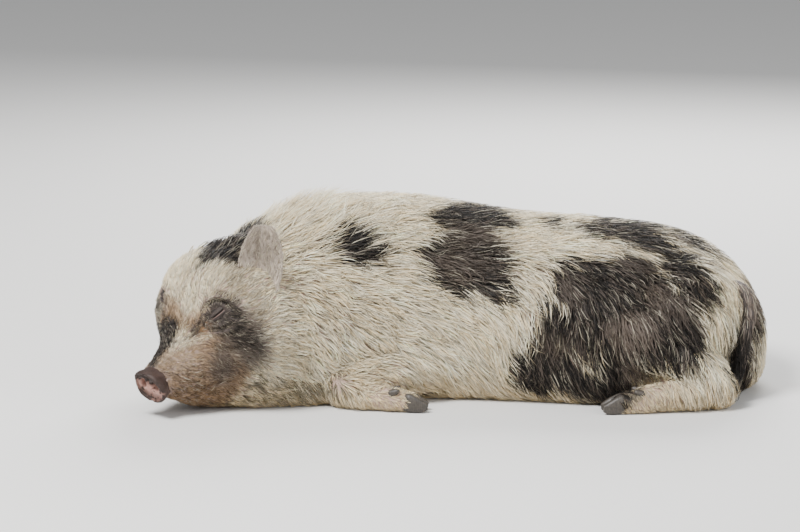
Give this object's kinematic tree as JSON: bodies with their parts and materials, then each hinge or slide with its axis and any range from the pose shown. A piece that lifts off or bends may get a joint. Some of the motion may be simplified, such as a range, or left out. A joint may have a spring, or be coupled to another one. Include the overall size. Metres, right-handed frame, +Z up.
{
  "type": "minipig",
  "caption": "Life-size minipig asleep on its belly, body curved and head turned and laid down, with long bristles in black and cream patches.",
  "frame": {"origin": "middle of the whole animal's box seen from above, on the floor it lies on", "axes": "+X from her snout towards her rump, along the longest extent; +Y to her right side, away from the side her head is turned to; +Z up, the shortest extent"},
  "size_m": [0.8875, 0.492, 0.2839],
  "materials": {
    "coat": "long bristly hair in cream and black patches over skin",
    "bare_skin": "bare, lightly wrinkled skin",
    "horn": "dark matt claw horn"
  },
  "bodies": {
    "root": {"head": "coat", "snout": "bare_skin", "eyelids_left": "bare_skin", "eyelids_right": "bare_skin", "ear_left": "coat", "ear_right": "coat", "neck": "coat", "torso": "coat", "tail": "coat", "foreleg_left": "coat", "foreleg_right": "coat", "hindleg_left": "coat", "hindleg_right": "coat", "fore_left_claw_outer": "horn", "fore_left_claw_inner": "horn", "fore_left_dewclaw_outer": "horn", "fore_left_dewclaw_inner": "horn", "fore_right_claw_outer": "horn", "fore_right_claw_inner": "horn", "fore_right_dewclaw_outer": "horn", "fore_right_dewclaw_inner": "horn", "hind_left_claw_outer": "horn", "hind_left_claw_inner": "horn", "hind_left_dewclaw_outer": "horn", "hind_left_dewclaw_inner": "horn", "hind_right_claw_outer": "horn", "hind_right_claw_inner": "horn", "hind_right_dewclaw_outer": "horn", "hind_right_dewclaw_inner": "horn"}
  },
  "joints": []
}
